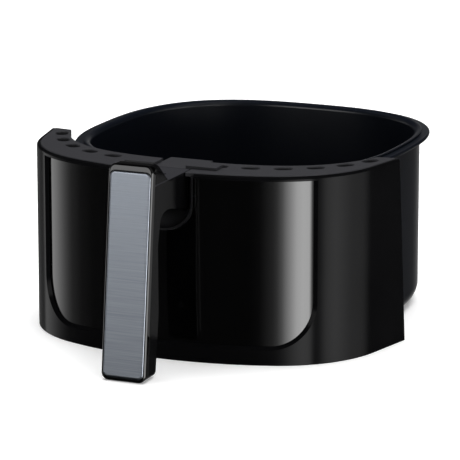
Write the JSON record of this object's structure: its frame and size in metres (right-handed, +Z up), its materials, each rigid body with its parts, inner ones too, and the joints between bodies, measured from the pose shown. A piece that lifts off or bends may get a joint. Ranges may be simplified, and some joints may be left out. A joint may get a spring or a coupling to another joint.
{
  "type": "air fryer drawer",
  "caption": "Pull-out drawer of an air fryer: a coated pan behind a moulded front, with a perforated basket that lifts out by an upright handle.",
  "frame": {"origin": "centre of the pan's underside, on the floor", "axes": "+Z up, -Y towards the handle, +X to the right when facing the handle"},
  "size_m": [0.2786, 0.3543, 0.1494],
  "materials": {
    "coating": "satin black nonstick coating",
    "shell_plastic": "semi-gloss black moulded plastic",
    "gloss_panel": "piano-black high gloss",
    "deck_plastic": "fine textured dark grey",
    "steel": "horizontally brushed, satin",
    "zinc": "zinc-plated, plain"
  },
  "bodies": {
    "drawer": {"drawer_pan": "coating", "front_shell": "shell_plastic", "front_panel": "gloss_panel", "vent_deck": "deck_plastic", "pan_bracket": "coating", "deck_screw_1": "zinc", "deck_screw_2": "zinc", "deck_screw_3": "zinc", "deck_screw_4": "zinc", "heat_shield": "zinc", "handle_socket": "shell_plastic"},
    "lift_out_basket": {"basket": "coating", "basket_saddle": "deck_plastic", "saddle_rivet_1": "zinc", "saddle_rivet_2": "zinc", "saddle_screw_1": "zinc", "saddle_screw_2": "zinc", "handle_body": "shell_plastic", "handle_front": "gloss_panel", "handle_inlay": "steel", "handle_screw_1": "zinc", "handle_screw_2": "zinc", "latch_pin": "zinc", "button_spring": "zinc"},
    "button": {"release_button": "deck_plastic"},
    "latch": {"latch_lever": "zinc"}
  },
  "joints": [
    {"name": "basket_lift", "type": "slide", "parent": "drawer", "child": "lift_out_basket", "axis": [0, 0, 1], "range_m": [0, 0.15]},
    {"name": "button_press", "type": "slide", "parent": "lift_out_basket", "child": "button", "axis": [0, 0, -1], "range_m": [0, 0.003], "stiffness_N_per_m": 400, "springref_m": -0.001, "deforming": ["button_spring"]},
    {"name": "latch_turn", "type": "hinge", "parent": "lift_out_basket", "child": "latch", "pos_m": [0, -0.1444, 0.1253], "axis": [1, 0, 0], "range_deg": [0, 6.2]}
  ],
  "couplings": [
    {"joint": "latch_turn", "follows": "button_press", "rad_per_m": 35.7}
  ]
}
